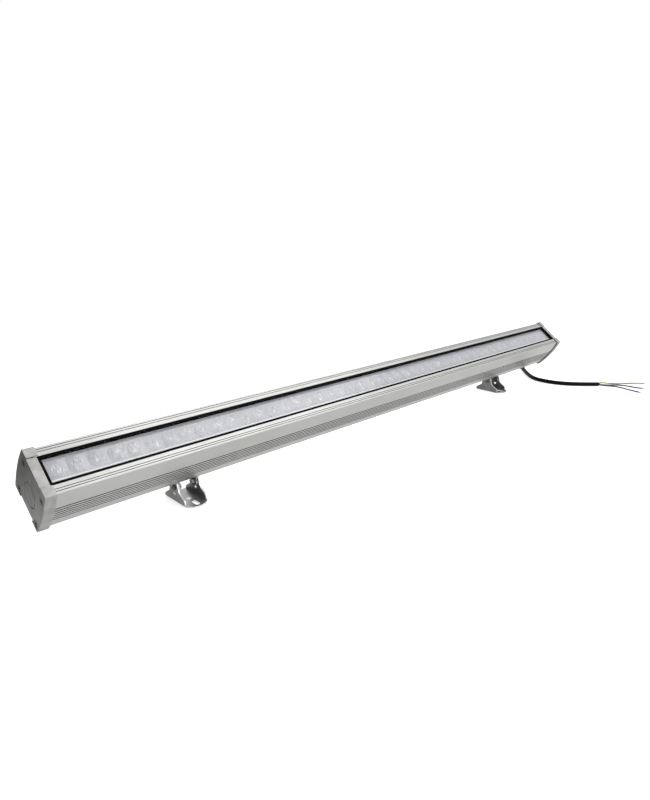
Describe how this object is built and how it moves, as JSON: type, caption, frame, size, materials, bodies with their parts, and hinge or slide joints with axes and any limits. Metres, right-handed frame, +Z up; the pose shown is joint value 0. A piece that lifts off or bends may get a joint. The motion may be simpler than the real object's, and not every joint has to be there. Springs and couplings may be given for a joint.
{
  "type": "outdoor wall washer light",
  "caption": "Long aluminium light bar with a glass face over a row of lenses, two end caps, two sliding and tilting floor brackets and a bare-ended cable.",
  "frame": {"origin": "on the floor, midway between the round fixing holes of the two floor brackets", "axes": "+X along the bar towards the cable gland's end, +Y towards the back of the brackets, +Z up"},
  "size_m": [1.0851, 0.3062, 0.1082],
  "materials": {
    "anodised_aluminium": "satin anodised",
    "cap_metal": "satin painted die casting",
    "black_rubber": "matt",
    "steel_screws": "bright",
    "clear_glass": "polished",
    "lens_plastic": "clear moulding",
    "board_white": "solder mask",
    "chip_yellow": "silicone over phosphor",
    "supply_metal": "plain",
    "potting": "matt",
    "lug_brass": "plain",
    "insulation_brown": "smooth",
    "insulation_blue": "smooth",
    "insulation_earth": "green and yellow stripes",
    "insulation_red": "smooth",
    "gland_metal": "nickel plated",
    "cable_rubber": "matt",
    "tinned_copper": "tinned strands",
    "bracket_steel": "dark plated"
  },
  "bodies": {
    "lamp": {"housing": "anodised_aluminium", "end_cap_left": "cap_metal", "end_cap_right": "cap_metal", "end_seal_left": "black_rubber", "end_seal_right": "black_rubber", "cap_screws_left": "steel_screws", "cap_screws_right": "steel_screws", "glass_panel": "clear_glass", "glass_gasket": "black_rubber", "lens_bar_1": "lens_plastic", "lens_bar_2": "lens_plastic", "lens_bar_3": "lens_plastic", "lens_bar_4": "lens_plastic", "light_board_1": "board_white", "light_board_2": "board_white", "light_board_3": "board_white", "light_board_4": "board_white", "light_chips": "chip_yellow", "board_screws": "steel_screws", "power_supply_case": "supply_metal", "power_supply_lid": "potting", "power_supply_screws": "steel_screws", "earth_lug": "lug_brass", "earth_screw": "steel_screws", "inner_wire_brown": "insulation_brown", "inner_wire_blue": "insulation_blue", "inner_wire_earth": "insulation_earth", "board_feed_wires": "insulation_red", "gland_body": "gland_metal", "gland_dome_nut": "gland_metal", "gland_sleeve": "black_rubber", "gland_locknut": "gland_metal", "cable": "cable_rubber", "core_brown": "insulation_brown", "core_blue": "insulation_blue", "core_earth": "insulation_earth", "core_tips": "tinned_copper"},
    "slider_left": {"swivel_bracket_left": "bracket_steel", "slide_nut_left": "steel_screws", "clamp_screws_left": "steel_screws", "pivot_nuts_left": "steel_screws"},
    "foot_left": {"floor_bracket_left": "bracket_steel", "pivot_screws_left": "steel_screws"},
    "slider_right": {"swivel_bracket_right": "bracket_steel", "slide_nut_right": "steel_screws", "clamp_screws_right": "steel_screws", "pivot_nuts_right": "steel_screws"},
    "foot_right": {"floor_bracket_right": "bracket_steel", "pivot_screws_right": "steel_screws"}
  },
  "joints": [
    {"name": "slide_left", "type": "slide", "parent": "lamp", "child": "slider_left", "axis": [1, 0, 0], "range_m": [-0.135, 0.27]},
    {"name": "tilt_left", "type": "hinge", "parent": "slider_left", "child": "foot_left", "pos_m": [-0.33, 0.005, 0.0188], "axis": [1, 0, 0], "range_deg": [-43, 37]},
    {"name": "slide_right", "type": "slide", "parent": "lamp", "child": "slider_right", "axis": [1, 0, 0], "range_m": [-0.27, 0.09]},
    {"name": "tilt_right", "type": "hinge", "parent": "slider_right", "child": "foot_right", "pos_m": [0.33, 0.005, 0.0188], "axis": [1, 0, 0], "range_deg": [-43, 37]}
  ],
  "couplings": [
    {"joint": "tilt_right", "follows": "tilt_left", "ratio": 1}
  ]
}
